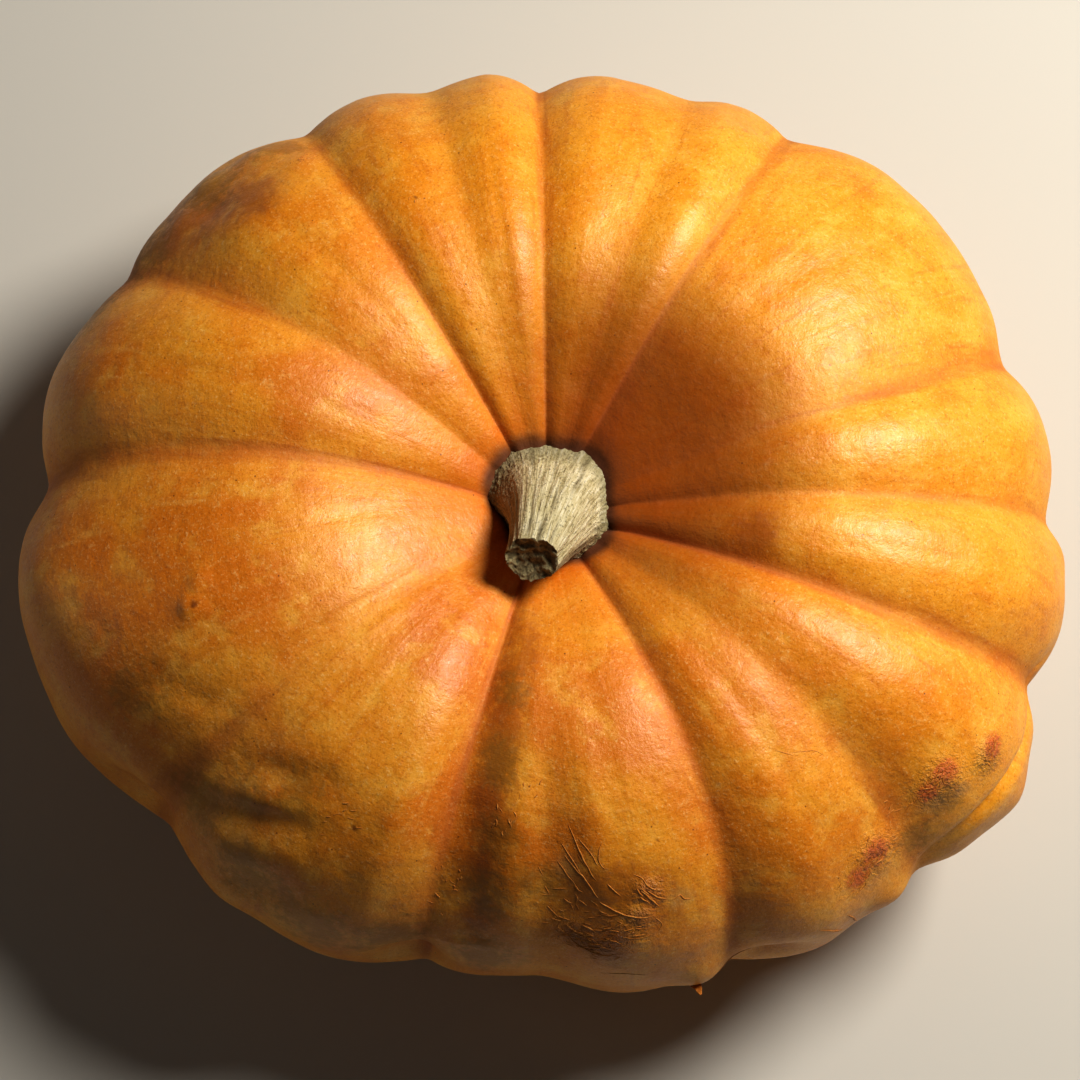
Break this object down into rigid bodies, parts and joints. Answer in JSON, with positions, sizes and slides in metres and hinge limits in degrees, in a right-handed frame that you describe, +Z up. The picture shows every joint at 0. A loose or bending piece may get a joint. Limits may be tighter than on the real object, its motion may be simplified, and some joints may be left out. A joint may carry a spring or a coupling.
{
  "type": "pumpkin",
  "caption": "Large flattened pumpkin with deep rounded ribs, a dished top and a dry leaning cut stem, resting on its rib feet.",
  "frame": {"origin": "on the ground, under the middle of the pumpkin's outline seen from above", "axes": "+Z up through the stem's seat, +X along the widest way across, -Y towards the side the stem leans to"},
  "size_m": [0.397, 0.361, 0.1713],
  "materials": {
    "rind": "waxy, semi-matt orange rind",
    "stem_cork": "dry, fibrous, matt straw"
  },
  "bodies": {
    "root": {"fruit": "rind", "stem": "stem_cork"}
  },
  "joints": []
}
